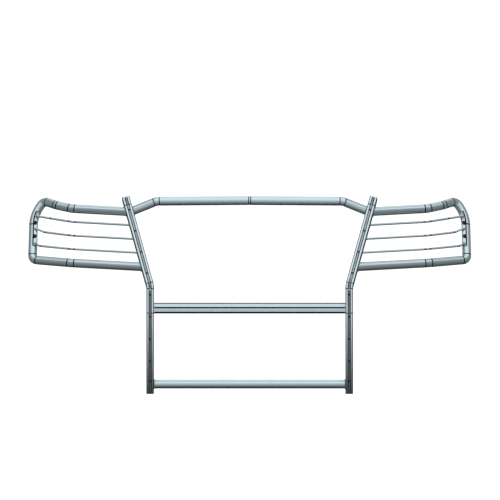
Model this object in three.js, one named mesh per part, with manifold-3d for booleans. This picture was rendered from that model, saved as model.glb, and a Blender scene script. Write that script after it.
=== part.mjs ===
// Front grille guard: two pressed channel uprights, three cross members, and a headlight wing on
// each side made of a bent tube hoop, three rods and an end strap.
//
// Millimetres. +X is the vehicle's right-hand side seen from in front, +Y runs back towards the
// vehicle and +Z is up. The origin is midway between the two frame brackets, at the centre of
// their bolt pattern.

import * as THREE from "three";
import { mergeVertices } from "three/addons/utils/BufferGeometryUtils.js";
import Module from "manifold-3d";

const wasm = await Module();
wasm.setup();

// ---------------------------------------------------------------- driving dimensions

const TUBE_DIAMETER = 38.1;
const TUBE_WALL = 2.0;
const ROD_DIAMETER = 9.5;
const GAP = 0.3;                   // clearance left at every touching face

const RISER_SPACING = 856;         // between the centre lines of the two uprights
const RISER_WIDTH = 33;
const RISER_DEPTH = 45;
const RISER_SHEET = 4;
const RISER_FOOT = 6;               // the channel runs this far below the foot line
const GROOVE_WIDTH = 11;           // pressed into the front of the upright for the rubber strip
const GROOVE_DEPTH = 1.8;
const GROOVE_SLOPE = 1.2;

const SWEEP_RADIUS = 408;          // of the curved lower half of the upright
const SWEEP_FROM = -32;            // degrees from vertical at the foot, negative is tucked under
const SWEEP_TO = 20;               // degrees from vertical at the top of the curve
const KNEE_DISTANCE = 123;         // from the end of the curve to the knee
const KNEE_RADIUS = 90;
const UPPER_LENGTH = 428;          // from the knee to the top of the upright
const UPPER_BACK = 33.3;           // degrees that the upper half leans back
const UPPER_OUT = 14.3;            // degrees that the upper half splays outwards

const BOTTOM_TUBE_AT = 32;         // distances along the front of the upright from its foot
const CROSS_PLATE_AT = 368.9;
const LOWER_WING_AT = 589;
const UPPER_WING_AT = 856;
const TOP_TUBE_AT = 854;
const TUBE_INSET = RISER_DEPTH / 2;

const WING_SWEEP = 17.5;             // degrees back from straight across
const LOWER_RUN = 315;             // outward run of the lower tube to its first bend
const LOWER_END_RUN = 168;         // and from there to the outer corner
const LOWER_END_SWEEP = 26;
const UPPER_RUN = 246;
const UPPER_MID_RUN = 68;
const UPPER_MID_SWEEP = 30;
const UPPER_MID_RISE = 8;
const UPPER_END_RUN = 52;
const UPPER_END_SWEEP = 49;
const UPPER_END_RISE = 7;
const SHOULDER_RISE = 182;         // of the outer tube's bend above its lower corner
const SHOULDER_BACK = 123;
const SHOULDER_IN = 6;
const LOW_BEND_RADIUS = 200;
const HIGH_BEND_RADIUS = 110;
const MID_BEND_RADIUS = 40;
const ROD_BEND_RADIUS = 150;
const ROD_END_RADIUS = 19;
const SHOULDER_RADIUS = 150;
const CORNER_RADIUS = 26;

const TOP_TUBE_SLANT = 22.2;       // degrees of rise of the ends of the top cross tube
const TOP_TUBE_FLAT = 400;         // half length of its level middle
const TOP_TUBE_CROWN = 2.8;        // rise of the level middle at the centre line
const TOP_TUBE_RADIUS = 60;
const TOP_CROWN_RADIUS = 600;

const PLATE_SHEET = 4;
const PLATE_FACE = 26;             // cross plate: front face, top leg and bottom leg
const PLATE_TOP_LEG = 42;
const PLATE_BOTTOM_LEG = 26;
const PLATE_FACE_LEAN = 13;
const PLATE_LEG_RISE = 20;
const PLATE_INSET = 8;

const STRIP_WIDTH = 10;
const STRIP_THICKNESS = 3.6;
const STRIP_CROWN = 6;             // width of the flat top of the strip
const LOWER_STRIP = [-5, 470];     // from and to, along the upright
const UPPER_STRIP = [506, 879];
const KNEE_CAP = [474, 503];
const TOP_CAP = [882, 917];
const LOWER_SCREWS = [66, 162, 258, 354, 450];
const UPPER_SCREWS = [549, 651, 753, 855];
const CAP_SCREWS = [490, 904];

const SCREW_HEAD = 7.6;
const SCREW_HEAD_TOP = 6.1;
const SCREW_HEAD_HEIGHT = 2.0;
const SCREW_SHANK = 3.6;
const SCREW_REACH = 10;            // length of the shank below the head

const ROD_SHARES = [0.256, 0.505, 0.757];   // heights of the rods between the wing's two tubes
const ROD_ENDS_AT = [68, 138, 199];         // and of their ends, along the outer tube
const ROD_LIFT = 3;                // height of their ends' centre line over the face of the strap

const STRAP_WIDTH = 19;
const STRAP_THICKNESS = 4;
const STRAP_TURN = 18;              // degrees from straight ahead towards the wing
const STRAP_FROM = 57;             // where the strap starts and ends, along the outer tube
const STRAP_TO = 223;
const STRAP_BOLTS_AT = [101, 164];
const STRAP_FACE = TUBE_DIAMETER / 2 + STRAP_THICKNESS + 2 * GAP;
const STRAP_BOLT_HEAD = 17;         // across its corners
const STRAP_BOLT_HEAD_HEIGHT = 5.3;
const STRAP_BOLT_SHANK = 8;
const STRAP_BOLT_REACH = 12;

const BRACKET_SHEET = 6;
const BRACKET_BACK = 150;          // of its bolt pattern behind the foot of the upright
const BRACKET_UP = 150;            // and above it
const BRACKET_TAIL = 38;           // material around the bolt pattern
const BRACKET_BOLT_PITCH = 76;
const BRACKET_HOLE = 14;
const BRACKET_FROM = 110;          // where the plate starts and ends, along the upright
const BRACKET_TO = 330;
const BRACKET_PEAK = 18;           // rise of its top edge over the bolt pattern
const BRACKET_CORNER = 12;         // cut off its two rear corners
const BRACKET_CLEARANCE = 2;       // from the inside of the channel's web

const TUBE_SECTION_STEPS = 8;      // a round section has twice as many sides
const ROD_SECTION_STEPS = 4;
const SCREW_SIDES = 8;
const HEX_SIDES = 6;
const SWEEP_STEPS = 10;
const BRACKET_STEPS = 4;
const HOLE_STEPS = 6;
const BEND_STEP = 16;              // degrees of bend between two stations
const CUT_MARGIN = 20;             // how far a cutting block reaches past what it cuts

// ---------------------------------------------------------------- finishes

const finish = (color, roughness, metalness) =>
  () => new THREE.MeshStandardMaterial({ color, roughness, metalness });

const steel = finish(0xb9c8cd, 0.35, 0.9);
const rubber = finish(0x4a4d50, 0.7, 0.0);
const plastic = finish(0x6d7376, 0.55, 0.0);
const darkSteel = finish(0x2b2a2b, 0.5, 0.8);

// ---------------------------------------------------------------- joining and cutting

function solidOf(geometry) {
  geometry.deleteAttribute("normal");
  geometry.deleteAttribute("uv");
  const merged = mergeVertices(geometry, 1e-4);
  return new wasm.Manifold(new wasm.Mesh({
    numProp: 3,
    vertProperties: new Float32Array(merged.attributes.position.array),
    triVerts: new Uint32Array(merged.index.array),
  }));
}

function geometryOf(solid) {
  const mesh = solid.getMesh();
  const geometry = new THREE.BufferGeometry();
  geometry.setAttribute("position", new THREE.BufferAttribute(mesh.vertProperties, 3));
  geometry.setIndex(new THREE.BufferAttribute(mesh.triVerts, 1));
  geometry.computeVertexNormals();
  return geometry;
}

function cut(geometry, tools) {
  let solid = solidOf(geometry);
  for (const tool of tools) {
    solid = solid.subtract(solidOf(tool));
  }
  return geometryOf(solid);
}

// ---------------------------------------------------------------- routes and sections

const radians = THREE.MathUtils.degToRad;
const vector = (x, y, z) => new THREE.Vector3(x, y, z);

/** A route through fixed stations whose section axes turn only where the route bends. */
class Route extends THREE.Curve {
  constructor(stations, across) {
    super();
    this.stations = stations;
    this.tangents = stations.map((point, i) => {
      const before = stations[Math.max(i - 1, 0)];
      const after = stations[Math.min(i + 1, stations.length - 1)];
      const arriving = point.clone().sub(before).normalize();
      const leaving = after.clone().sub(point).normalize();
      return arriving.add(leaving).normalize();
    });
    const turn = new THREE.Quaternion();
    const first = this.tangents[0];
    this.normals = [across.clone().addScaledVector(first, -across.dot(first)).normalize()];
    for (let i = 1; i < stations.length; i += 1) {
      turn.setFromUnitVectors(this.tangents[i - 1], this.tangents[i]);
      this.normals.push(this.normals[i - 1].clone().applyQuaternion(turn));
    }
    this.binormals = this.tangents.map((tangent, i) => tangent.clone().cross(this.normals[i]));
  }

  getPoint(t) {
    const place = t * (this.stations.length - 1);
    const i = Math.min(Math.floor(place), this.stations.length - 2);
    return this.stations[i].clone().lerp(this.stations[i + 1], place - i);
  }

  getSpacedPoints() {
    return this.stations;
  }

  computeFrenetFrames() {
    return { tangents: this.tangents, normals: this.normals, binormals: this.binormals };
  }

  /** The point and section axes at a distance along the route. */
  at(distance) {
    let left = distance;
    let i = 0;
    let length = this.stations[0].distanceTo(this.stations[1]);
    while (left > length && i < this.stations.length - 2) {
      left -= length;
      i += 1;
      length = this.stations[i].distanceTo(this.stations[i + 1]);
    }
    const share = left / length;
    const mix = (list) => list[i].clone().lerp(list[i + 1], share);
    const along = mix(this.tangents).normalize();
    const across = mix(this.normals).normalize();
    return { point: mix(this.stations), along, across, front: along.clone().cross(across) };
  }

  get end() {
    return this.stations.slice(1).reduce((sum, station, i) => sum + station.distanceTo(this.stations[i]), 0);
  }

  /** The stretch of this route between two distances, with the same section axes. */
  part(from, to) {
    const inside = [];
    let distance = 0;
    this.stations.forEach((station, i) => {
      distance += i > 0 ? station.distanceTo(this.stations[i - 1]) : 0;
      if (distance > from + 1 && distance < to - 1) {
        inside.push(station);
      }
    });
    const start = this.at(from);
    return new Route([start.point, ...inside, this.at(to).point], start.across);
  }
}

/** Straight runs between corners, with an arc of the given radius at each inner corner. */
function bentRun(corners, radii) {
  const stations = [corners[0]];
  for (let i = 1; i < corners.length - 1; i += 1) {
    const corner = corners[i];
    const arriving = corner.clone().sub(corners[i - 1]).normalize();
    const leaving = corners[i + 1].clone().sub(corner).normalize();
    const angle = arriving.angleTo(leaving);
    const radius = radii[i - 1];
    const setback = radius * Math.tan(angle / 2);
    const start = corner.clone().addScaledVector(arriving, -setback);
    const inward = leaving.clone().addScaledVector(arriving, -leaving.dot(arriving)).normalize();
    const steps = Math.max(2, Math.ceil(THREE.MathUtils.radToDeg(angle) / BEND_STEP));
    for (let step = 0; step <= steps; step += 1) {
      const turned = angle * step / steps;
      stations.push(start.clone()
        .addScaledVector(arriving, radius * Math.sin(turned))
        .addScaledVector(inward, radius * (1 - Math.cos(turned))));
    }
  }
  stations.push(corners[corners.length - 1]);
  return stations;
}

function extrudeAlong(shape, route, curveSegments = 1) {
  return new THREE.ExtrudeGeometry(shape, {
    steps: route.stations.length - 1,
    curveSegments,
    bevelEnabled: false,
    extrudePath: route,
  });
}

function shapeOf(points) {
  return new THREE.Shape(points.map(([x, y]) => new THREE.Vector2(x, y)));
}

function roundShape(diameter, bore = 0) {
  const shape = new THREE.Shape().absarc(0, 0, diameter / 2, 0, 2 * Math.PI);
  if (bore > 0) {
    shape.holes.push(new THREE.Path().absarc(0, 0, bore / 2, 0, 2 * Math.PI));
  }
  return shape;
}

function tubeAlong(route) {
  const section = roundShape(TUBE_DIAMETER, TUBE_DIAMETER - 2 * TUBE_WALL);
  return extrudeAlong(section, route, TUBE_SECTION_STEPS);
}

function rodAlong(route) {
  return extrudeAlong(roundShape(ROD_DIAMETER), route, ROD_SECTION_STEPS);
}

/** A turned piece whose outline runs up its own axis, standing at a point along a direction. */
function turned(outline, point, direction, sides) {
  const geometry = new THREE.LatheGeometry(outline.map(([r, h]) => new THREE.Vector2(r, h)), sides);
  geometry.applyQuaternion(new THREE.Quaternion().setFromUnitVectors(vector(0, 1, 0), direction));
  geometry.translate(point.x, point.y, point.z);
  return geometry;
}

function pin(radius, reach, point, direction) {
  return turned([[0, -reach], [radius, -reach], [radius, reach], [0, reach]], point, direction, SCREW_SIDES);
}

// ---------------------------------------------------------------- the uprights

/** The line up the middle of the front of one upright, from its foot. */
function riserRoute(side) {
  const x = side * RISER_SPACING / 2;
  const from = radians(SWEEP_FROM);
  const to = radians(SWEEP_TO);
  const stations = [];
  for (let i = 0; i < SWEEP_STEPS; i += 1) {
    const tilt = THREE.MathUtils.lerp(from, to, i / SWEEP_STEPS);
    const back = SWEEP_RADIUS * (Math.cos(from) - Math.cos(tilt));
    const up = SWEEP_RADIUS * (Math.sin(tilt) - Math.sin(from));
    stations.push(vector(x, back, up));
  }
  const curveEnd = vector(
    x,
    SWEEP_RADIUS * (Math.cos(from) - Math.cos(to)),
    SWEEP_RADIUS * (Math.sin(to) - Math.sin(from)),
  );
  const knee = curveEnd.clone().addScaledVector(vector(0, Math.sin(to), Math.cos(to)), KNEE_DISTANCE);
  const out = radians(UPPER_OUT);
  const back = radians(UPPER_BACK);
  const upper = vector(side * Math.sin(out), Math.cos(out) * Math.sin(back), Math.cos(out) * Math.cos(back));
  const top = knee.clone().addScaledVector(upper, UPPER_LENGTH);
  stations.push(...bentRun([curveEnd, knee, top], [KNEE_RADIUS]));
  return new Route(stations, vector(-1, 0, 0));
}

/** The channel section, open to the rear, with the strip's groove in its face. */
function riserShape() {
  const half = RISER_WIDTH / 2;
  const inner = half - RISER_SHEET;
  const groove = GROOVE_WIDTH / 2;
  const shoulder = groove + GROOVE_SLOPE;
  const right = [
    [groove, -GROOVE_DEPTH], [shoulder, 0], [half, 0], [half, -RISER_DEPTH],
    [inner, -RISER_DEPTH], [inner, -RISER_SHEET], [shoulder, -RISER_SHEET],
    [groove, -RISER_SHEET - GROOVE_DEPTH],
  ];
  const left = right.map(([x, y]) => [-x, y]).reverse();
  return shapeOf([...right, ...left].reverse());
}

/** The full block that an upright fills, which its neighbours are cut back from. */
function riserBlock(route) {
  const half = RISER_WIDTH / 2 + GAP;
  const rear = -RISER_DEPTH - CUT_MARGIN;
  const outline = [[-half, rear], [half, rear], [half, CUT_MARGIN], [-half, CUT_MARGIN]];
  return extrudeAlong(shapeOf(outline), route);
}

/** The strip's section, lying in the groove, with a flat crown between two sloping shoulders. */
function stripShape() {
  const base = -GROOVE_DEPTH + GAP;
  const top = base + STRIP_THICKNESS;
  const half = STRIP_WIDTH / 2;
  const crown = STRIP_CROWN / 2;
  const edge = top - (half - crown) / 2;
  return shapeOf([[-half, base], [half, base], [half, edge], [crown, top], [-crown, top], [-half, edge]]);
}

function screwAt(route, distance) {
  const { point, front } = route.at(distance);
  const seat = STRIP_THICKNESS - GROOVE_DEPTH + 2 * GAP;
  const top = seat + SCREW_HEAD_HEIGHT;
  const tip = seat - SCREW_REACH;
  const shank = SCREW_SHANK / 2;
  const outline = [
    [0, tip], [shank, tip], [shank, seat], [SCREW_HEAD / 2, seat], [SCREW_HEAD_TOP / 2, top], [0, top],
  ];
  return turned(outline, point, front, SCREW_SIDES);
}

function screwHole(route, distance) {
  const { point, front } = route.at(distance);
  return pin(SCREW_SHANK / 2 + 2 * GAP, SCREW_REACH, point, front);
}

// ---------------------------------------------------------------- the wings

/** The corners of the wing's hoop, from the upright out along the bottom and back along the top. */
function wingCorners(side, riser) {
  const low = riser.at(LOWER_WING_AT);
  const high = riser.at(UPPER_WING_AT);
  const root = low.point.clone().addScaledVector(low.front, -TUBE_INSET);
  const end = high.point.clone().addScaledVector(high.front, -TUBE_INSET);
  const step = (from, out, sweep, rise) =>
    from.clone().add(vector(side * out, out * Math.tan(radians(sweep)), rise));
  const lowBend = step(root, LOWER_RUN, WING_SWEEP, 0);
  const lowCorner = step(lowBend, LOWER_END_RUN, LOWER_END_SWEEP, 0);
  const highBend = step(end, UPPER_RUN, WING_SWEEP, 0);
  const highMid = step(highBend, UPPER_MID_RUN, UPPER_MID_SWEEP, UPPER_MID_RISE);
  const highCorner = step(highMid, UPPER_END_RUN, UPPER_END_SWEEP, UPPER_END_RISE);
  const shoulder = lowCorner.clone().add(vector(-side * SHOULDER_IN, SHOULDER_BACK, SHOULDER_RISE));
  return { root, lowBend, lowCorner, shoulder, highCorner, highMid, highBend, end };
}

function hoopRoute(side, c) {
  const corners = [c.root, c.lowBend, c.lowCorner, c.shoulder, c.highCorner, c.highMid, c.highBend, c.end];
  const radii = [
    LOW_BEND_RADIUS, CORNER_RADIUS, SHOULDER_RADIUS, CORNER_RADIUS, MID_BEND_RADIUS, HIGH_BEND_RADIUS,
  ];
  return new Route(bentRun(corners, radii), vector(0, 0, 1));
}

/** The outer tube's own line between its two corners, with its section turned square to the front. */
function outerRoute(c) {
  return new Route(bentRun([c.lowCorner, c.shoulder, c.highCorner], [SHOULDER_RADIUS]), vector(-1, 0, 0));
}

/** One of the rods that stand between the lower and the upper tube and end on the strap. */
function rodRoute(side, c, outer, i) {
  const between = (low, high) => low.clone().lerp(high, ROD_SHARES[i]);
  const corners = [
    between(c.root, c.end),
    between(c.lowBend, c.highBend),
    between(c.lowCorner, c.highMid),
    strapSeat(side, outer.at(ROD_ENDS_AT[i]), STRAP_FACE + ROD_LIFT).point,
  ];
  return new Route(bentRun(corners, [ROD_BEND_RADIUS, ROD_END_RADIUS]), vector(0, 0, 1));
}

/** The point over the outer tube that the strap faces, and the strap's own outward direction. */
function strapSeat(side, seat, height) {
  const turn = radians(STRAP_TURN);
  const facing = seat.front.clone().multiplyScalar(Math.cos(turn))
    .addScaledVector(seat.across, side * Math.sin(turn));
  return { point: seat.point.clone().addScaledVector(facing, height), facing };
}

/** A flat bar's section, lying over the tube and turned towards the wing. */
function strapShape(side, low, high, half) {
  const turn = side * radians(STRAP_TURN);
  const place = ([x, y]) => [
    x * Math.cos(turn) + y * Math.sin(turn),
    -x * Math.sin(turn) + y * Math.cos(turn),
  ];
  return shapeOf([[-half, low], [half, low], [half, high], [-half, high]].map(place));
}

function rodStrap(side, route) {
  const low = TUBE_DIAMETER / 2 + GAP;
  return extrudeAlong(strapShape(side, low, low + STRAP_THICKNESS, STRAP_WIDTH / 2), route);
}

/** The space under the strap's outer face, which the rods' ends are cut back from. */
function strapBlock(side, route) {
  return extrudeAlong(strapShape(side, 0, STRAP_FACE, STRAP_WIDTH), route);
}

function strapBolt(side, route, distance) {
  const { point, facing } = strapSeat(side, route.at(distance), STRAP_FACE);
  const head = STRAP_BOLT_HEAD / 2;
  const shank = STRAP_BOLT_SHANK / 2;
  const outline = [
    [0, -STRAP_BOLT_REACH], [shank, -STRAP_BOLT_REACH], [shank, 0],
    [head, 0], [head, STRAP_BOLT_HEAD_HEIGHT], [0, STRAP_BOLT_HEAD_HEIGHT],
  ];
  return turned(outline, point, facing, HEX_SIDES);
}

function strapBoltHole(side, route, distance) {
  const { point, facing } = strapSeat(side, route.at(distance), TUBE_DIAMETER / 2);
  return pin(STRAP_BOLT_SHANK / 2 + 2 * GAP, STRAP_BOLT_REACH, point, facing);
}

// ---------------------------------------------------------------- the cross members

function topTube(risers) {
  const end = (side) => {
    const seat = risers[side].at(TOP_TUBE_AT);
    return seat.point.clone().addScaledVector(seat.front, -TUBE_INSET);
  };
  const left = end(-1);
  const right = end(1);
  const rise = (right.x - TOP_TUBE_FLAT) * Math.tan(radians(TOP_TUBE_SLANT));
  const shoulder = (side) => vector(side * TOP_TUBE_FLAT, right.y, right.z + rise);
  const crown = vector(0, right.y, right.z + rise + TOP_TUBE_CROWN);
  const corners = [left, shoulder(-1), crown, shoulder(1), right];
  const radii = [TOP_TUBE_RADIUS, TOP_CROWN_RADIUS, TOP_TUBE_RADIUS];
  return tubeAlong(new Route(bentRun(corners, radii), vector(0, 0, 1)));
}

function bottomTube(risers) {
  const seat = risers[1].at(BOTTOM_TUBE_AT);
  const right = seat.point.clone().addScaledVector(seat.front, -TUBE_INSET);
  const left = right.clone().setX(-right.x);
  return tubeAlong(new Route([left, right], vector(0, 0, 1)));
}

/** A folded plate: a leaning front face, a top leg that rises to the rear and a level bottom leg. */
function crossPlate(risers) {
  const seat = risers[1].at(CROSS_PLATE_AT);
  const foot = seat.point.clone().addScaledVector(seat.front, -PLATE_INSET);
  const lean = radians(PLATE_FACE_LEAN);
  const legRise = radians(PLATE_LEG_RISE);
  const top = [PLATE_FACE * Math.sin(lean), PLATE_FACE * Math.cos(lean)];
  const outside = [
    [PLATE_BOTTOM_LEG, 0],
    [0, 0],
    top,
    [top[0] + PLATE_TOP_LEG * Math.cos(legRise), top[1] + PLATE_TOP_LEG * Math.sin(legRise)],
  ];
  const inside = offsetInwards(outside, PLATE_SHEET);
  const shape = shapeOf([...outside, ...inside.reverse()].map(([back, up]) => [up, -back]));
  const right = vector(RISER_SPACING / 2, foot.y, foot.z);
  const left = right.clone().setX(-right.x);
  return extrudeAlong(shape, new Route([left, right], vector(0, 0, 1)));
}

/** The same open outline, moved over by one sheet thickness towards its hollow side. */
function offsetInwards(outline, thickness) {
  const normals = outline.slice(1).map(([x, y], i) => {
    const dx = x - outline[i][0];
    const dy = y - outline[i][1];
    const length = Math.hypot(dx, dy);
    return [dy / length, -dx / length];
  });
  return outline.map(([x, y], i) => {
    const before = normals[Math.max(i - 1, 0)];
    const after = normals[Math.min(i, normals.length - 1)];
    const scale = thickness / (1 + before[0] * after[0] + before[1] * after[1]);
    return [x + (before[0] + after[0]) * scale, y + (before[1] + after[1]) * scale];
  });
}

// ---------------------------------------------------------------- the frame brackets

/** A plate inside the channel, welded to its inner flange, with two bolt holes behind the upright. */
function frameBracket(side, riser) {
  const clear = RISER_SHEET + GROOVE_DEPTH + BRACKET_CLEARANCE;
  const frontEdge = [];
  for (let i = 0; i <= BRACKET_STEPS; i += 1) {
    const seat = riser.at(THREE.MathUtils.lerp(BRACKET_FROM, BRACKET_TO, i / BRACKET_STEPS));
    const point = seat.point.clone().addScaledVector(seat.front, -clear);
    frontEdge.push([point.y, point.z]);
  }
  const reach = BRACKET_BOLT_PITCH / 2 + BRACKET_TAIL;
  const rear = BRACKET_BACK + reach;
  const top = BRACKET_UP + BRACKET_TAIL;
  const bottom = BRACKET_UP - BRACKET_TAIL;
  const shape = shapeOf([
    ...frontEdge,
    [BRACKET_BACK, top + BRACKET_PEAK],
    [rear - BRACKET_CORNER, top],
    [rear, top - BRACKET_CORNER],
    [rear, bottom + BRACKET_CORNER],
    [rear - BRACKET_CORNER, bottom],
    [BRACKET_BACK - reach, bottom],
  ]);
  for (const end of [-1, 1]) {
    const boltAt = BRACKET_BACK + end * BRACKET_BOLT_PITCH / 2;
    shape.holes.push(new THREE.Path().absarc(boltAt, BRACKET_UP, BRACKET_HOLE / 2, 0, 2 * Math.PI));
  }
  const geometry = new THREE.ExtrudeGeometry(shape, {
    depth: BRACKET_SHEET,
    bevelEnabled: false,
    curveSegments: HOLE_STEPS,
  });
  geometry.rotateX(Math.PI / 2).rotateZ(Math.PI / 2);
  const inner = RISER_SPACING / 2 - RISER_WIDTH / 2 + RISER_SHEET + GAP;
  const x = side > 0 ? inner : -inner - BRACKET_SHEET;
  return geometry.translate(x, 0, 0);
}

// ---------------------------------------------------------------- assembly

const guard = new THREE.Group();
guard.position.set(0, -BRACKET_BACK, -BRACKET_UP);

function add(name, geometry, material) {
  const mesh = new THREE.Mesh(geometry, material());
  mesh.name = name;
  guard.add(mesh);
}

const risers = { "-1": riserRoute(-1), "1": riserRoute(1) };
const blocks = () => [riserBlock(risers[-1]), riserBlock(risers[1])];

for (const [side, hand] of [[-1, "left"], [1, "right"]]) {
  const riser = risers[side];
  const screws = [...LOWER_SCREWS, ...CAP_SCREWS, ...UPPER_SCREWS].sort((a, b) => a - b);
  const holes = (places) => places.map((at) => screwHole(riser, at));

  const channel = extrudeAlong(riserShape(), riser.part(-RISER_FOOT, riser.end));
  add(`riser_${hand}`, cut(channel, holes(screws)), steel);
  for (const [name, [from, to], material] of [
    ["lower_strip", LOWER_STRIP, rubber],
    ["upper_strip", UPPER_STRIP, rubber],
    ["knee_cap", KNEE_CAP, plastic],
    ["top_cap", TOP_CAP, plastic],
  ]) {
    const strip = extrudeAlong(stripShape(), riser.part(from, to));
    add(`${name}_${hand}`, cut(strip, holes(screws.filter((at) => at > from && at < to))), material);
  }
  screws.forEach((at, i) => {
    add(`strip_screw_${hand}_${i + 1}`, screwAt(riser, at), CAP_SCREWS.includes(at) ? steel : darkSteel);
  });

  const corners = wingCorners(side, riser);
  const outer = outerRoute(corners);
  const strapRoute = outer.part(STRAP_FROM, STRAP_TO);
  const boltHoles = () => STRAP_BOLTS_AT.map((at) => strapBoltHole(side, outer, at));
  const hoop = tubeAlong(hoopRoute(side, corners));
  add(`wing_hoop_${hand}`, cut(hoop, [riserBlock(riser), ...boltHoles()]), steel);
  add(`rod_strap_${hand}`, cut(rodStrap(side, strapRoute), boltHoles()), steel);
  STRAP_BOLTS_AT.forEach((at, i) => {
    add(`strap_bolt_${hand}_${i + 1}`, strapBolt(side, outer, at), darkSteel);
  });
  ROD_SHARES.forEach((share, i) => {
    const rod = rodAlong(rodRoute(side, corners, outer, i));
    add(`wing_rod_${hand}_${i + 1}`, cut(rod, [riserBlock(riser), strapBlock(side, strapRoute)]), steel);
  });

  add(`frame_bracket_${hand}`, frameBracket(side, riser), darkSteel);
}

add("top_cross_tube", cut(topTube(risers), blocks()), steel);
add("cross_plate", cut(crossPlate(risers), blocks()), steel);
add("bottom_cross_tube", cut(bottomTube(risers), blocks()), steel);

export default guard;
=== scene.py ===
"""Front grille guard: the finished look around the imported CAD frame.

Metres, in the CAD's own frame: +X to the right seen from in front, +Y back towards the vehicle, +Z up.
"""

import math

import bmesh
import bpy
from mathutils import Matrix, Vector


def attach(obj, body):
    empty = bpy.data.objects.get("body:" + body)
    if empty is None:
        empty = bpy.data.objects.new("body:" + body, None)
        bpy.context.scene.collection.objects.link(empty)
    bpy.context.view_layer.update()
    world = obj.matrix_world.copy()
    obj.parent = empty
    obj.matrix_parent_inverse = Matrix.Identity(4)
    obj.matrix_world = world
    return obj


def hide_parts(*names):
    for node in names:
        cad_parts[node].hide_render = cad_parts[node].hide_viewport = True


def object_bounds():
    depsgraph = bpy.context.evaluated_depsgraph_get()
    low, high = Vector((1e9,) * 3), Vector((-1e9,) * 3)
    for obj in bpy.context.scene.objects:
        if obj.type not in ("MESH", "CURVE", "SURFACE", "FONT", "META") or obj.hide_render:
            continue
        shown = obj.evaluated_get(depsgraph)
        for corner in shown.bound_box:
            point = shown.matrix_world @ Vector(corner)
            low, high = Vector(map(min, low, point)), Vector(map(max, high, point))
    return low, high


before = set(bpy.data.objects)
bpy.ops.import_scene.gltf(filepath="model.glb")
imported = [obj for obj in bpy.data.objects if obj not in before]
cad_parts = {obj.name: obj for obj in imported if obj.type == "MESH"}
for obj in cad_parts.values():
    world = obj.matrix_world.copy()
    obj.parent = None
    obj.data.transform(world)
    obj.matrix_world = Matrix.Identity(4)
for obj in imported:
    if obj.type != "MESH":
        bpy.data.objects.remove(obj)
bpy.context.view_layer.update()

# ---- driving values (metres and degrees)

MM = 0.001
UP = Vector((0, 0, 1))
ORIGIN = Vector((0, -150, -150)) * MM  # the foot line of the uprights, in the row frame

TUBE_RADIUS = 19.05 * MM
TUBE_WALL = 2 * MM
ROD_RADIUS = 4.75 * MM
GAP = 0.3 * MM

RISER_SPACING = 856 * MM
RISER_WIDTH = 33 * MM
RISER_DEPTH = 45 * MM
RISER_SHEET = 4 * MM
RISER_EDGE = 4.2 * MM  # the corner down each side of its face, painted dark as shade
RISER_BEND = 3.4 * MM  # radius of its corners outside, and inside below
RISER_INNER_BEND = 1.2 * MM
SHEET_EDGE = 0.5 * MM  # radius of the cut edges of sheet
RISER_FOOT = 6 * MM  # the channel runs this far below the foot line
GROOVE_WIDTH = 11 * MM
GROOVE_DEPTH = 1.8 * MM
GROOVE_SLOPE = 1.2 * MM

SWEEP_RADIUS = 408 * MM
SWEEP_FROM = -32
SWEEP_TO = 20
SWEEP_STEPS = 24
KNEE_DISTANCE = 123 * MM
KNEE_RADIUS = 90 * MM
UPPER_LENGTH = 428 * MM
UPPER_BACK = 33.3
UPPER_OUT = 14.3

BOTTOM_TUBE_AT = 32 * MM
CROSS_PLATE_AT = 368.9 * MM
LOWER_WING_AT = 589 * MM
UPPER_WING_AT = 856 * MM
TOP_TUBE_AT = 854 * MM
TUBE_INSET = RISER_DEPTH / 2

WING_SWEEP = 17.5
LOWER_RUN = 315 * MM
LOWER_END_RUN = 168 * MM
LOWER_END_SWEEP = 26
UPPER_RUN = 246 * MM
UPPER_MID_RUN = 68 * MM
UPPER_MID_SWEEP = 30
UPPER_MID_RISE = 8 * MM
UPPER_END_RUN = 52 * MM
UPPER_END_SWEEP = 49
UPPER_END_RISE = 7 * MM
SHOULDER_RISE = 182 * MM
SHOULDER_BACK = 123 * MM
SHOULDER_IN = 6 * MM
LOW_BEND_RADIUS = 200 * MM
HIGH_BEND_RADIUS = 110 * MM
MID_BEND_RADIUS = 40 * MM
SHOULDER_RADIUS = 150 * MM
CORNER_RADIUS = 26 * MM

ROD_SHARES = (0.256, 0.505, 0.757)
ROD_ENDS_AT = (68 * MM, 138 * MM, 199 * MM)
ROD_LIFT = 3 * MM
ROD_BEND_RADIUS = 150 * MM
ROD_END_RADIUS = 19 * MM
ROD_END_STEPS = 14
ROD_DOME_STEPS = 4
ROD_DOME_ANGLE = 84
ROD_DOME_SHARE = 0.6  # its height as a share of the rod's radius
ROD_SEAT = 0.1 * MM  # how far below the strap's face the lifted points lie
ROD_SEAT_MARGIN = 1 * MM  # and how far beyond the strap's edges points are lifted

TOP_TUBE_SLANT = 22.2
TOP_TUBE_FLAT = 400 * MM
TOP_TUBE_CROWN = 2.8 * MM
TOP_TUBE_RADIUS = 60 * MM
TOP_CROWN_RADIUS = 600 * MM

PLATE_SHEET = 4 * MM
PLATE_FACE = 26 * MM
PLATE_TOP_LEG = 42 * MM
PLATE_BOTTOM_LEG = 26 * MM
PLATE_FACE_LEAN = 13
PLATE_LEG_RISE = 20
PLATE_INSET = 8 * MM
PLATE_BENDS = (2.2 * MM, 1.4 * MM)  # outside radius at the heel and at the fold
PLATE_INNER_BEND = 1 * MM
PLATE_FOLD_LINES = (3.2 * MM, 5.8 * MM)  # the painted shade line at the fold: on the face, on the top leg
PLATE_HEEL_LINE = 8.2 * MM  # and widths of those at the lower and the rear edge
PLATE_REAR_LINE = 8.6 * MM

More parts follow.
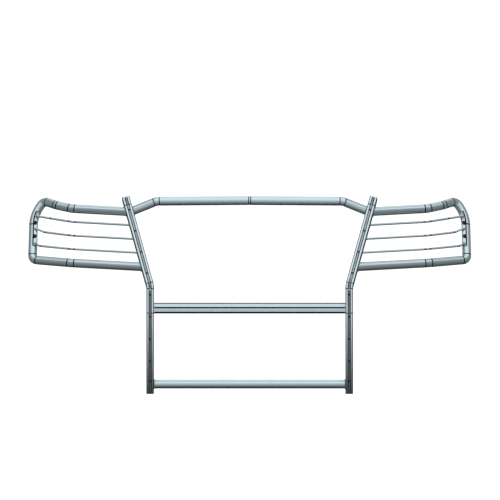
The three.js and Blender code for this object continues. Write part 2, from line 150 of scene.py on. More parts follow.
STRIP_WIDTH = 10 * MM
STRIP_THICKNESS = 3.6 * MM
STRIP_CROWN = 6 * MM
STRIP_RADII = (0.3 * MM, 0.5 * MM, 1.2 * MM)  # at its base, its lips and its crown
STRIP_EASE = 0.8 * MM  # its ends are a little smaller over this length
STRIP_END_SIZE = 0.93
STRIP_END_CENTRE = 0.45  # share of its thickness
LOWER_STRIP = (-5 * MM, 470 * MM)
UPPER_STRIP = (506 * MM, 879 * MM)
KNEE_CAP = (474 * MM, 503 * MM)
TOP_CAP = (882 * MM, 917 * MM)
PLAIN_SCREWS = tuple(d * MM for d in (66, 162, 258, 354, 450, 549, 651, 753, 855))
CAP_SCREWS = (490 * MM, 904 * MM)
SCREW_HEAD = 7.6 * MM
SCREW_HEAD_HEIGHT = 2 * MM
SCREW_RIM = 0.6  # the cap screws are painted near-black as shade outside this share of the head
SCREW_SHANK = 3.6 * MM
SCREW_REACH = 10 * MM
SCREW_TIP = ((0.3 * MM, 0), (1.26 * MM, 0.2 * MM), (1.8 * MM, 1 * MM))  # radius, height above the tip
SCREW_THREADS = 7
SCREW_PITCH = 1.2 * MM
SCREW_THREAD_ROOT = 0.86  # share of the shank's radius
SCREW_HEAD_SHAPE = (  # shares of its radius and of its height
    (0.97, 0), (1, 0.18), (1, 0.42), (0.93, 0.72), (0.76, 0.93),
)
SCREW_RECESS = (  # share of the head's radius, depth below its top
    (0.55, 0), (0.52, 0.05 * MM), (0.5, 0.35 * MM), (0.42, 0.9 * MM), (0.12, 1.15 * MM),
)
SCREW_SIDES = 32

STRAP_WIDTH = 19 * MM
STRAP_THICKNESS = 4 * MM
STRAP_TURN = 18
STRAP_LINE = 5.0 * MM  # width of the painted shadow line down its outer edge, and across its ends
STRAP_END_LINE = 2.6 * MM
STRAP_EDGE_RADIUS = 0.9 * MM
STRAP_STEPS = 44
STRAP_FROM = 57 * MM
STRAP_TO = 223 * MM
STRAP_BOLTS_AT = (101 * MM, 164 * MM)
STRAP_FACE = TUBE_RADIUS + STRAP_THICKNESS + 2 * GAP
BOLT_HEAD = 17 * MM
BOLT_SHANK = 8 * MM
BOLT_REACH = 12 * MM
BOLT_CHAMFER = 1 * MM
BOLT_SHAPE = (  # share of the head's radius, height, whether it is a hexagon there
    (0.93, 0, False), (0.93, 0.5 * MM, False), (1, 0.6 * MM, True), (1, 4.558 * MM, True),
    (0.95, 4.982 * MM, True), (0.86, 5.3 * MM, True), (0.80, 5.3 * MM, False), (0.3, 5.2 * MM, False),
)
BOLT_SIDES = 48
BOLT_UV_STEP = 2 * MM

BRACKET_SHEET = 6 * MM
BRACKET_TAIL = 38 * MM
BRACKET_HOLE_PITCH = 76 * MM
BRACKET_HOLE = 14 * MM
BRACKET_FROM = 110 * MM
BRACKET_TO = 330 * MM
BRACKET_PEAK = 18 * MM
BRACKET_CORNER = 12 * MM
BRACKET_CLEARANCE = 2 * MM
BRACKET_BEVEL = 0.8 * MM
BRACKET_STEPS = 12
BRACKET_HOLE_STEP = 10  # degrees

TUBE_SIDES = 56
ROD_SIDES = 28
STRAIGHT_STEPS = 12
BEND_STEP = 3  # degrees of bend between two stations
RING_WIDTH = 4.2 * MM  # the groove where a bend starts and ends, its bottom painted near-black as a line of shade
TOP_RING_WIDTH = 3.36 * MM
RING_DEPTH = 0.9 * MM
# the rods' ring grooves are painted near-black as shade too
ROD_RING_WIDTH = 6.5 * MM
ROD_RING_DEPTH = 0.45 * MM
GROOVE_FLANK = 0.3 * MM  # length of a groove's sloping side
STATION_GAP = 0.4 * MM  # no station is closer to a groove than this
SEAM_WIDTH = 3.6 * MM  # the grooves across the uprights, painted near-black as lines of shade
SEAM_DEPTH = 0.8 * MM
SEAM_DOWN_TO = 2.1 * MM  # points of the section less deep than this are pulled back at the seams,
SEAM_SIDE = 0.2 * MM  # those this near its side are pulled in,
SEAM_END = 1 * MM  # but none this near its rear edge
SEAMS_AT = (370 * MM, 476.5 * MM, 504 * MM, 880.3 * MM)
WELD_RADIUS = 2.3 * MM
ROD_WELD_RADIUS = 1.5 * MM
BEAD_SIDES = 10
BEAD_STEPS = 3  # rings of the bead for each point of the outline
BEAD_RIPPLE = (0.09, 4)  # share of its radius, rings from one ripple to the next
BEAD_WANDER = ((0.06, 0.37), (0.04, 1.13))  # share of its radius, radians a ring
BEAD_SEAT = (0.15, 0.2)  # shares of its radius that it stands out from the tube and the upright
SAME_DISTANCE = 0.1 * MM  # stations nearer than this count as one
ROUNDING = 0.01 * MM
MERGE_DISTANCE = 0.001 * MM

FLOOR_REACH = 9
FLOOR_DROP = 0.45  # below the lowest point of the guard
FLOOR_GLOW = 0.5
BACKGROUND = 1.1  # brightness of the plain white that the camera sees
SOFT_BOX_SIZE = (4.0, 2.5)
SOFT_BOX_ENERGY = 12
SOFT_BOX_AT = (0, -1.6, 3.2)
SOFT_BOX_TILT = 30

FRONT_LIGHT = (  # height of a direction, brightness of the studio there
    (-1, 0.045), (-0.95, 0.08), (-0.914, 0.11), (-0.616, 0.30), (-0.208, 0.51), (0.208, 0.76), (0.616, 1.06),
    (0.87, 1.22), (1, 1.14),
)
SIDE_LIGHT = (  # the same, out at the two sides
    (-1, 0.08), (-0.9, 0.12), (-0.6, 0.19), (-0.2, 0.28), (0.2, 0.33), (0.6, 0.35), (0.8, 0.37), (0.95, 0.44),
    (1, 0.65),
)
BACK_LIGHT = (  # the same, beyond the guard
    (-1, 0.045), (-0.6, 0.03), (-0.2, 0.03), (-0.1, 0.30), (0.1, 0.42), (0.5, 0.85), (0.8, 1.12), (1, 1.14),
)
HIGH_UP = ((-1, 1), (0.55, 1), (0.75, 0), (1, 0))  # in front, the sides end below this
TURNING_BACK = ((-1, 0), (-0.3, 0), (0, 1), (1, 1))  # and beside the guard they reach the top
BACKWARDS = ((-1, 0), (0, 0), (0.3, 1), (1, 1))
FAR_BACK = ((-1, 0), (0.5, 0), (0.8, 1), (1, 1))  # low down there, the sides are dark too
LOW_DOWN = ((-1, 1), (-0.2, 1), (-0.1, 0), (1, 0))
SIDEWAYS = (  # how far a direction points to the side, share of the side light
    (0, 0), (0.08, 0.03), (0.16, 0.26), (0.22, 0.42), (0.30, 0.62), (0.40, 0.78), (0.60, 1), (1, 1),
)

VIEW_ELEVATION = 10
VIEW_WIDTH = 2.150
VIEW_CENTRE = Vector((0.0013, 0.0766, 0.4344))
VIEW_DISTANCE = 6.0

# ---- materials


def node(owner, kind, **inputs):
    """A new node of a material or the world, with input values given by name."""
    made = owner.node_tree.nodes.new(kind)
    for key, value in inputs.items():
        made.inputs[key.replace("_", " ")].default_value = value
    return made


def feed(owner, value, target):
    """Sets an input to a number or a colour, or joins it to an output."""
    if isinstance(value, tuple):
        target.default_value = (*value, 1)
    elif isinstance(value, (int, float)):
        target.default_value = value
    else:
        owner.node_tree.links.new(value, target)


def calculated(owner, operation, *values):
    made = node(owner, "ShaderNodeMath")
    made.operation = operation
    for value, target in zip(values, made.inputs):
        feed(owner, value, target)
    return made.outputs[0]


def blended(owner, factor, first, second):
    """One colour going over into another as the factor goes from 0 to 1."""
    mix = node(owner, "ShaderNodeMix")
    mix.data_type = "RGBA"
    feed(owner, factor, mix.inputs[0])
    colors = [s for s in mix.inputs if s.type == "RGBA"]
    feed(owner, first, colors[0])
    feed(owner, second, colors[1])
    return [s for s in mix.outputs if s.type == "RGBA"][0]


def new_material(name, color, metallic, roughness, specular=0.5):
    material = bpy.data.materials.new(name)
    material.use_nodes = True
    material.node_tree.nodes.clear()
    shader = node(material, "ShaderNodeBsdfPrincipled", Base_Color=(*color, 1), Metallic=metallic,
                  Roughness=roughness, Specular_IOR_Level=specular)
    output = node(material, "ShaderNodeOutputMaterial")
    feed(material, shader.outputs["BSDF"], output.inputs["Surface"])
    return material


def surface(material, name):
    """An input of a material's shader."""
    return material.node_tree.nodes["Principled BSDF"].inputs[name]


def noise(material, scale, detail=3.0, stretch=(1, 1, 1), space="Object"):
    """Noise over the piece's own coordinates or its UV, stretched by the given scale on each axis."""
    mapping = node(material, "ShaderNodeMapping", Scale=stretch)
    feed(material, node(material, "ShaderNodeTexCoord").outputs[space], mapping.inputs["Vector"])
    made = node(material, "ShaderNodeTexNoise", Scale=scale, Detail=detail, Roughness=0.55)
    feed(material, mapping.outputs["Vector"], made.inputs["Vector"])
    return made.outputs["Fac"]


def spread(material, value, low, high, dark=0.3, light=0.7):
    """The value from its dark to its light level, spread over low to high."""
    ranged = node(material, "ShaderNodeMapRange", From_Min=dark, From_Max=light, To_Min=low, To_Max=high)
    feed(material, value, ranged.inputs["Value"])
    return ranged.outputs["Result"]


def two_tones(material, factor, first, second):
    feed(material, blended(material, factor, first, second), surface(material, "Base Color"))


def bump(material, height, distance, strength):
    made = node(material, "ShaderNodeBump", Strength=strength, Distance=distance)
    feed(material, height, made.inputs["Height"])
    feed(material, made.outputs["Normal"], surface(material, "Normal"))


def texture(material, gloss, smoothest, roughest, relief, distance, strength):
    """Roughness that follows one value, and a bump that follows another."""
    feed(material, spread(material, gloss, smoothest, roughest), surface(material, "Roughness"))
    bump(material, relief, distance, strength)


def steel_material(name, light, dark, roughness):
    """Satin steel, polished along the length of each piece: UV runs round and along it, in metres."""
    material = new_material(name, light, 1.0, roughness)
    grain = noise(material, 1.0, 2.0, (900, 12, 1), "UV")
    clouds = noise(material, 9.0, 4.0)
    smudges = noise(material, 42.0, stretch=(1, 1, 1.4))
    two_tones(material, spread(material, clouds, 0, 1, 0.25, 0.75), dark, light)
    rough = calculated(material, "ADD", spread(material, grain, -0.015, 0.015),
                       spread(material, smudges, roughness - 0.008, roughness + 0.012))
    feed(material, rough, surface(material, "Roughness"))
    bump(material, grain, 0.000004, 0.05)
    return material


def shade_line_material():
    """Painted shade: the near-black colour of the lines where bends, folds and seams are, standing in for the
    shade there.
    """
    material = new_material("painted_shade_line", (0.004, 0.004, 0.004), 0.0, 0.8, specular=0.0)
    two_tones(material, noise(material, 260.0), (0.002, 0.002, 0.002), (0.008, 0.008, 0.009))
    return material


def weld_material():
    """A cleaned weld bead: rougher than the tube, a little straw and blue from the heat."""
    material = new_material("weld_bead", (0.5, 0.55, 0.58), 1.0, 0.42)
    pits = noise(material, 900.0)
    tint = spread(material, noise(material, 120.0), 0, 1)
    two_tones(material, tint, (0.36, 0.41, 0.46), (0.52, 0.53, 0.50))
    texture(material, pits, 0.34, 0.52, pits, 0.0001, 0.5)
    return material


def rubber_material(name, first, second):
    """Matt rubber, mottled between two tones."""
    material = new_material(name, first, 0.0, 0.5, specular=0.35)
    mottle = noise(material, 70.0, 5.0)
    two_tones(material, spread(material, mottle, 0, 1), first, second)
    texture(material, mottle, 0.42, 0.56, noise(material, 1500.0), 0.00006, 0.4)
    return material


def plastic_material():
    """Grained grey plastic."""
    material = new_material("cap_plastic", (0.30, 0.35, 0.37), 0.0, 0.5, specular=0.3)
    leather = node(material, "ShaderNodeTexVoronoi", Scale=900.0)
    feed(material, node(material, "ShaderNodeTexCoord").outputs["Object"], leather.inputs["Vector"])
    mottle = noise(material, 60.0)
    two_tones(material, mottle, (0.27, 0.32, 0.34), (0.36, 0.42, 0.44))
    texture(material, mottle, 0.46, 0.56, leather.outputs["Distance"], 0.0001, 0.35)
    return material


def fastener_material():
    """Black oxide, rubbed a little lighter in patches."""
    material = new_material("dark_fastener", (0.012, 0.010, 0.011), 0.0, 0.45, specular=0.25)
    rubbed = noise(material, 380.0, 4.0)
    worn = spread(material, rubbed, 0, 1, 0.45, 0.8)
    two_tones(material, worn, (0.008, 0.006, 0.007), (0.045, 0.038, 0.038))
    texture(material, rubbed, 0.36, 0.52, rubbed, 0.0001, 0.3)
    return material


def coating_material():
    """Textured black powder coat on the frame brackets."""
    material = new_material("coated_bracket", (0.02, 0.021, 0.023), 0.0, 0.55, specular=0.45)
    grain = noise(material, 700.0)
    dust = spread(material, noise(material, 25.0, 5.0), 0, 1)
    two_tones(material, dust, (0.016, 0.017, 0.019), (0.038, 0.039, 0.04))
    texture(material, grain, 0.45, 0.62, grain, 0.0003, 0.5)
    return material


STEEL = steel_material("satin_steel", (0.565, 0.695, 0.745), (0.55, 0.68, 0.73), 0.26)
# painted light: a lighter copy of the satin steel for the strap, standing in for the light on its forward
# face
LIT_STEEL = steel_material("lit_strap_steel", (0.72, 0.83, 0.87), (0.68, 0.80, 0.85), 0.26)
# painted shade: near-black for the lines at bends, folds, seams, the strap's edge and the screw rims
SHADE_LINE = shade_line_material()
WELD = weld_material()
# painted shade: a dark copy of the satin steel on the rounded corners down each side of the uprights' face
EDGE_SHADE = steel_material("shaded_edge", (0.085, 0.105, 0.112), (0.07, 0.087, 0.093), 0.34)
RUBBER = rubber_material("strip_rubber", (0.17, 0.185, 0.185), (0.22, 0.235, 0.235))
# painted shade: near-black rubber on the strip's lips, standing in for the shade in the groove beside the
# crown
LIP_SHADE = rubber_material("painted_lip_shade", (0.018, 0.018, 0.018), (0.03, 0.03, 0.03))
# painted light: the strip rubber painted much lighter for the upper strip, where the leaning face catches
# more light
LIT_RUBBER = rubber_material("lit_strip_rubber", (0.40, 0.47, 0.49), (0.54, 0.61, 0.64))
PLASTIC = plastic_material()
FASTENER = fastener_material()
COATING = coating_material()

# ---- routes


def cos(degrees):
    return math.cos(math.radians(degrees))


def sin(degrees):
    return math.sin(math.radians(degrees))


def tan(degrees):
    return math.tan(math.radians(degrees))


class Place:
    """A point on a route and its section axes there."""

    def __init__(self, point, along, across):
        self.point = point
        self.along = along
        self.across = across
        self.front = along.cross(across)


class Route:
    """A route through fixed stations whose section axes turn only where the route bends."""

    def __init__(self, stations, across):
        self.stations = stations
        last = len(stations) - 1
        self.tangents = []
        for i, point in enumerate(stations):
            arriving = (point - stations[max(i - 1, 0)]).normalized()
            leaving = (stations[min(i + 1, last)] - point).normalized()
            self.tangents.append((arriving + leaving).normalized())
        first = self.tangents[0]
        self.across = [(across - first * across.dot(first)).normalized()]
        for i in range(1, last + 1):
            turn = self.tangents[i - 1].rotation_difference(self.tangents[i])
            self.across.append((turn @ self.across[i - 1]).normalized())
        self.distances = [0.0]
        for a, b in zip(stations, stations[1:]):
            self.distances.append(self.distances[-1] + (b - a).length)
        self.length = self.distances[-1]

    def at(self, distance):
        i = 0
        while i < len(self.stations) - 2 and distance > self.distances[i + 1]:
            i += 1
        share = (distance - self.distances[i]) / (self.distances[i + 1] - self.distances[i])
        point = self.stations[i].lerp(self.stations[i + 1], share)
        along = self.tangents[i].lerp(self.tangents[i + 1], share).normalized()
        across = self.across[i].lerp(self.across[i + 1], share)
        across = (across - along * across.dot(along)).normalized()
        return Place(point, along, across)

    def between(self, start, end):
        """Distances of the stations strictly between two distances, with both ends."""
        inner = (d for d in self.distances if start + SAME_DISTANCE < d < end - SAME_DISTANCE)
        return [start, *inner, end]


def straight_run(start, end, steps=STRAIGHT_STEPS):
    return [start.lerp(end, i / steps) for i in range(steps + 1)]


def bent_run(corners, radii):
    """Straight runs between corners with an arc at each inner corner; also each bend's two ends."""
    stations = [corners[0]]
    ends = []
    for i in range(1, len(corners) - 1):
        corner = corners[i]
        arriving = (corner - corners[i - 1]).normalized()
        leaving = (corners[i + 1] - corner).normalized()
        angle = arriving.angle(leaving)
        radius = radii[i - 1]
        start = corner - arriving * radius * math.tan(angle / 2)
        inward = (leaving - arriving * leaving.dot(arriving)).normalized()
        steps = max(2, math.ceil(math.degrees(angle) / BEND_STEP))
        first = len(stations)
        for step in range(steps + 1):
            turned = angle * step / steps
            ahead = arriving * math.sin(turned) + inward * (1 - math.cos(turned))
            stations.append(start + ahead * radius)
        ends.append((first, len(stations) - 1))
    stations.append(corners[-1])
    return stations, ends


# ---- mesh making


def placed(name, data):
    made = bpy.data.objects.new(name, data)
    bpy.context.scene.collection.objects.link(made)
    return made


def finish_piece(name, mesh, materials=(STEEL, SHADE_LINE), sharp=32, extra=False):
    """Puts a mesh in the scene in place of the CAD node with its name, or as an extra piece."""
    piece = placed(name if extra else f"look_{name}", mesh)
    for material in materials:
        mesh.materials.append(material)
    cleaned = bmesh.new()
    cleaned.from_mesh(mesh)
    bmesh.ops.recalc_face_normals(cleaned, faces=cleaned.faces)
    cleaned.to_mesh(mesh)
    cleaned.free()
    mesh.shade_smooth()
    mesh.set_sharp_from_angle(angle=math.radians(sharp))
    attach(piece, "root")
    if not extra:
        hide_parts(name)


class Grid:
    """Collects rings of points and the faces between them, with UVs in metres."""

    def __init__(self):
        self.points = []
        self.faces = []
        self.uvs = []
        self.slots = []

    def ring(self, points):
        first = len(self.points)
        self.points.extend(points)
        return list(range(first, first + len(points)))

    def face(self, corners, uvs, slot=0):
        self.faces.append(corners)
        self.uvs.append(uvs)
        self.slots.append(slot)

    def band(self, a, b, rounds, low, high, slot=0):
        """Quads between two closed rings; rounds are the UV positions round the ring."""
        for i in range(len(a)):
            j = (i + 1) % len(a)
            uvs = [(rounds[i], low), (rounds[i + 1], low), (rounds[i + 1], high), (rounds[i], high)]
            self.face([a[i], a[j], b[j], b[i]], uvs, slot[i] if isinstance(slot, list) else slot)

    def cap(self, ring, slot=0):
        self.face(ring, [(self.points[k][0], self.points[k][2]) for k in ring], slot)

    def skin(self, rings, rounds, heights, slots, cap_slot=0):
        """Bands between successive rings, with UV heights and slots for each, and a cap at both ends."""
        for i in range(len(rings) - 1):
            self.band(rings[i], rings[i + 1], rounds, heights[i], heights[i + 1], slots[i])
        self.cap(rings[0][::-1])
        self.cap(rings[-1], cap_slot)

    def mesh(self, name):
        mesh = bpy.data.meshes.new(name)
        mesh.from_pydata([tuple(p) for p in self.points], [], self.faces)
        layer = mesh.uv_layers.new(name="UVMap")
        flat = [uv for face in self.uvs for uv in face]
        for loop, uv in zip(layer.data, flat):
            loop.uv = uv
        for polygon, slot in zip(mesh.polygons, self.slots):
            polygon.material_index = slot
        return mesh


def circle(sides, radius):
    """Section offsets of a circle, starting at its rear so the seam of the grain is out of sight."""
    angles = [math.radians(-90 + 360 * i / sides) for i in range(sides)]
    return [(radius * math.cos(a), radius * math.sin(a)) for a in angles]


def rounds_of(radius, sides):
    """UV positions round a circle, from its start back to its start."""
    return [2 * math.pi * radius * i / sides for i in range(sides + 1)]


def edges_of(profile):
    """The two ends of each edge of a section, in order."""
    return zip(profile, profile[1:] + profile[:1])


def ring_points(place, offsets):
    return [place.point + place.across * x + place.front * y for x, y in offsets]


def mitred(points, along, plane):
    """The points moved along the route until they lie in a plane given by a point and a normal."""
    if plane is None:
        return points
    point, normal = plane
    return [p + along * ((point - p).dot(normal) / along.dot(normal)) for p in points]


def stations_with_grooves(route, start, end, grooves, width, depth):
    """(distance, inset, 1 if painted with shade up to the next station) along a route with ring grooves."""
    marks = []
    for groove in grooves:
        low = groove - width / 2
        high = groove + width / 2
        marks += [(low - GROOVE_FLANK, 0, 0), (low, depth, 1), (high, depth, 0), (high + GROOVE_FLANK, 0, 0)]
    clear = width / 2 + GROOVE_FLANK + STATION_GAP
    plain = [d for d in route.between(start, end) if all(abs(d - g) > clear for g in grooves)]
    return sorted([(d, 0, 0) for d in plain] + marks)


def welded_tube(name, beads, route, grooves, planes, width=RING_WIDTH):
    """A hollow tube with ring grooves, cut to a plane at each end, with a weld bead there."""
    grid = Grid()
    rows = stations_with_grooves(route, 0.0, route.length, grooves, width, RING_DEPTH)
    cuts = {0: planes[0], len(rows) - 1: planes[1]}
    rounds = rounds_of(TUBE_RADIUS, TUBE_SIDES)
    outer_rings = []
    inner_rings = []
    ends = []
    for index, (distance, inset, _) in enumerate(rows):
        place = route.at(distance)
        outer, inner = (mitred(ring_points(place, circle(TUBE_SIDES, radius)), place.along, cuts.get(index))
                        for radius in (TUBE_RADIUS - inset, TUBE_RADIUS - TUBE_WALL))
        outer_rings.append(grid.ring(outer))
        inner_rings.append(grid.ring(inner))
        if index in cuts:
            ends.append((outer, place))
    for i in range(len(rows) - 1):
        low, _, dark = rows[i]
        high = rows[i + 1][0]
        # the bottom of each groove takes the painted shade
        grid.band(outer_rings[i], outer_rings[i + 1], rounds, low, high, dark)
        grid.band(inner_rings[i + 1], inner_rings[i], rounds, high, low)
    grid.band(inner_rings[0], outer_rings[0], rounds, 0, TUBE_WALL)
    grid.band(outer_rings[-1], inner_rings[-1], rounds, 0, TUBE_WALL)
    finish_piece(name, grid.mesh(name))
    for bead, (points, place), (_, normal) in zip(beads, ends, planes):
        weld_bead(bead, points, place, normal, WELD_RADIUS)


def sweep(name, profile, route, distances, insets=None, dark_rows=(), dark_edges=(), shaded_edges=(),
          dark_bands=()):
    """A closed section swept along a route; insets pull its outer points in at dark rows.

    Dark edges of the section, dark bands along the route and the grooves at dark rows take the second
    material, the painted shade; shaded edges take the third, a painted darker steel.
    """
    grid = Grid()
    rounds = [0.0]
    for (x, y), (nx, ny) in edges_of(profile):
        rounds.append(rounds[-1] + math.hypot(nx - x, ny - y))
    rings = []
    for index, distance in enumerate(distances):
        shape = profile
        if insets and index in dark_rows:
            shape = [(x + dx, y + dy) for (x, y), (dx, dy) in zip(profile, insets)]
        rings.append(grid.ring(ring_points(route.at(distance), shape)))
    slots = []
    for i in range(len(rings) - 1):
        grooved = insets and i in dark_rows and i + 1 in dark_rows
        slots.append([])
        for k in range(len(profile)):
            dark = i in dark_bands or k in dark_edges or (grooved and insets[k] != (0, 0))
            slots[i].append(1 if dark else 2 if k in shaded_edges else 0)
    grid.skin(rings, rounds, distances, slots)
    return grid.mesh(name)


def rounded(corners, steps=4):
    """A section outline from (x, y, corner radius), with an arc at each corner."""
    outline = []
    count = len(corners)
    for i, (x, y, radius) in enumerate(corners):
        here = Vector((x, y))
        before = Vector(corners[i - 1][:2])
        after = Vector(corners[(i + 1) % count][:2])
        if radius <= 0:
            outline.append((x, y))
            continue
        a = (before - here).normalized()
        b = (after - here).normalized()
        half = a.angle(b) / 2
        setback = radius / math.tan(half)
        centre = here + (a + b).normalized() * (radius / math.sin(half))
        start = here + a * setback - centre
        end = here + b * setback - centre
        turn = start.angle_signed(end)
        for step in range(steps + 1):
            angle = -turn * step / steps
            outline.append((
                centre.x + start.x * math.cos(angle) - start.y * math.sin(angle),
                centre.y + start.x * math.sin(angle) + start.y * math.cos(angle),
            ))
    return outline


def turned_mesh(name, outline, point, direction, slots):
    """A piece turned round a direction from (radius, height) pairs, with a material slot for each of them."""
    grid = Grid()
    side = Vector((1, 0, 0))
    side = (side - direction * side.dot(direction)).normalized()
    other = direction.cross(side)
    angles = [2 * math.pi * i / SCREW_SIDES for i in range(SCREW_SIDES)]
    turned = [side * math.cos(a) + other * math.sin(a) for a in angles]
    rings = [grid.ring([point + direction * height + way * radius for way in turned])
             for radius, height in outline]
    rounds = rounds_of(max(radius for radius, _ in outline), SCREW_SIDES)
    along = [0.0]
    for (x, y), (nx, ny) in zip(outline, outline[1:]):
        along.append(along[-1] + math.hypot(nx - x, ny - y))
    grid.skin(rings, rounds, along, slots, slots[-1])
    return grid.mesh(name)


def weld_bead(name, points, place, normal, radius):
    """A rippled bead round the joint whose outline is given, standing in the corner it closes."""
    grid = Grid()
    ripple, pitch = BEAD_RIPPLE
    angles = [2 * math.pi * k / BEAD_SIDES for k in range(BEAD_SIDES)]
    rings = []
    for i in range(len(points) * BEAD_STEPS):
        a = points[i // BEAD_STEPS]
        b = points[(i // BEAD_STEPS + 1) % len(points)]
        p = a.lerp(b, (i % BEAD_STEPS) / BEAD_STEPS)
        out = (p - place.point - place.along * (p - place.point).dot(place.along)).normalized()
        size = radius * (1 + ripple * math.cos(2 * math.pi * i / pitch))
        size *= 1 + sum(share * math.sin(i * rate) for share, rate in BEAD_WANDER)
        middle = p + out * radius * BEAD_SEAT[0] + normal * radius * BEAD_SEAT[1]
        rings.append(grid.ring([middle + (out * math.cos(t) + normal * math.sin(t)) * size for t in angles]))
    rounds = rounds_of(radius, BEAD_SIDES)
    for i in range(len(rings)):
        grid.band(rings[i], rings[(i + 1) % len(rings)], rounds, i * radius / 2, (i + 1) * radius / 2)
    finish_piece(name, grid.mesh(name), [WELD], sharp=80, extra=True)


# ---- the uprights


def riser_route(side):
    """Up an upright's face: a sweep, a straight, the knee and the leaning upper half."""
    x = side * RISER_SPACING / 2
    stations = []
    for i in range(SWEEP_STEPS + 1):
        tilt = SWEEP_FROM + (SWEEP_TO - SWEEP_FROM) * i / SWEEP_STEPS
        back = SWEEP_RADIUS * (cos(SWEEP_FROM) - cos(tilt))
        up = SWEEP_RADIUS * (sin(tilt) - sin(SWEEP_FROM))
        stations.append(Vector((x, back, up)) + ORIGIN)
    knee = stations[-1] + Vector((0, sin(SWEEP_TO), cos(SWEEP_TO))) * KNEE_DISTANCE
    upper = Vector((0, sin(UPPER_BACK), cos(UPPER_BACK))) * cos(UPPER_OUT)
    upper.x = side * sin(UPPER_OUT)
    tail, _ = bent_run([stations[-1], knee, knee + upper * UPPER_LENGTH], [KNEE_RADIUS])
    return Route(stations[:-1] + tail, Vector((-1, 0, 0)))


def riser_profile():
    """The channel's section and how far each of its points is pulled in at the seams."""
    half = RISER_WIDTH / 2
    inner = half - RISER_SHEET
    groove = GROOVE_WIDTH / 2
    shoulder = groove + GROOVE_SLOPE
    right = [
        (groove, -GROOVE_DEPTH, SHEET_EDGE), (shoulder, 0, SHEET_EDGE), (half, 0, RISER_BEND),
        (half, -RISER_DEPTH, SHEET_EDGE), (inner, -RISER_DEPTH, SHEET_EDGE),
        (inner, -RISER_SHEET, RISER_INNER_BEND), (shoulder, -RISER_SHEET, SHEET_EDGE),
        (groove, -RISER_SHEET - GROOVE_DEPTH, SHEET_EDGE),
    ]
    left = [(-x, y, r) for x, y, r in reversed(right)]
    profile = rounded((right + left)[::-1])
    insets = []
    for x, y in profile:
        on_front = y > -SEAM_DOWN_TO and abs(x) < half - ROUNDING
        on_side = abs(x) > half - SEAM_SIDE and y > SEAM_END - RISER_DEPTH
        insets.append((-math.copysign(SEAM_DEPTH, x) if on_side else 0, -SEAM_DEPTH if on_front else 0))
    return profile, insets


def riser_piece(side, hand, route):
    profile, insets = riser_profile()
    rows = stations_with_grooves(route, -RISER_FOOT, route.length, SEAMS_AT, SEAM_WIDTH, SEAM_DEPTH)
    dark_rows = {i for i, (_, inset, _) in enumerate(rows) if inset > 0}
    half = RISER_WIDTH / 2
    shaded = [i for i, ((x, y), (nx, ny)) in enumerate(edges_of(profile))
              if half - RISER_EDGE < (abs(x) + abs(nx)) / 2 < half - ROUNDING and min(y, ny) > -RISER_EDGE]
    mesh = sweep(f"riser_{hand}", profile, route, [d for d, _, _ in rows], insets, dark_rows,
                 shaded_edges=shaded)
    finish_piece(f"riser_{hand}", mesh, [STEEL, SHADE_LINE, EDGE_SHADE])


def strip_piece(name, span, route, material):
    """A length of rubber strip or a cap, lying in an upright's groove, with its lips beside the crown painted
    near-black as shade.
    """
    base = GAP - GROOVE_DEPTH
    top = base + STRIP_THICKNESS
    half = STRIP_WIDTH / 2
    crown = STRIP_CROWN / 2
    edge = top - (half - crown) / 2
    at_base, at_lip, at_crown = STRIP_RADII
    profile = rounded([
        (-half, base, at_base), (half, base, at_base), (half, edge, at_lip), (crown, top, at_crown),
        (-crown, top, at_crown), (-half, edge, at_lip),
    ], 3)
    lips = [i for i, ((x, _), (nx, _)) in enumerate(edges_of(profile))
            if (abs(x) + abs(nx)) / 2 > crown + SAME_DISTANCE]
    start, end = span
    distances = [start, *route.between(start + STRIP_EASE, end - STRIP_EASE), end]
    mesh = sweep(name, profile, route, distances, dark_edges=lips)
    for ring in (0, len(distances) - 1):
        place = route.at(distances[ring])
        centre = place.point + place.front * (base + STRIP_THICKNESS * STRIP_END_CENTRE)
        for vertex in mesh.vertices[ring * len(profile):(ring + 1) * len(profile)]:
            vertex.co = centre + (vertex.co - centre) * STRIP_END_SIZE
    finish_piece(name, mesh, [material, LIP_SHADE])


def screw_piece(name, route, distance, bright):
    """A pan-head screw through the strip; a bright one has a rim painted near-black as shade."""
    place = route.at(distance)
    seat = STRIP_THICKNESS - GROOVE_DEPTH + 2 * GAP
    tip = seat - SCREW_REACH
    shank = SCREW_SHANK / 2
    head = SCREW_HEAD / 2
    outline = [(radius, tip + height) for radius, height in SCREW_TIP]
    for i in range(SCREW_THREADS):
        low = outline[2][1] + SCREW_PITCH * i
        outline += [(shank * SCREW_THREAD_ROOT, low + SCREW_PITCH / 2), (shank, low + SCREW_PITCH)]
    outline.append((shank, seat))
    outline += [(head * share, seat + SCREW_HEAD_HEIGHT * high) for share, high in SCREW_HEAD_SHAPE]
    outline += [(head * share, seat + SCREW_HEAD_HEIGHT - depth) for share, depth in SCREW_RECESS]
    # outside SCREW_RIM, a bright screw's head takes the painted shade
    slots = [1 if bright and height >= seat and radius > head * SCREW_RIM else 0
             for radius, height in outline[:-1]] + [0]
    mesh = turned_mesh(name, outline, place.point, place.front, slots)
    finish_piece(name, mesh, [STEEL, SHADE_LINE] if bright else [FASTENER])


# ---- the wings


def inside(riser, distance):
    """The middle of an upright's depth at a distance, where tube axes meet it."""
    place = riser.at(distance)
    return place.point - place.front * TUBE_INSET


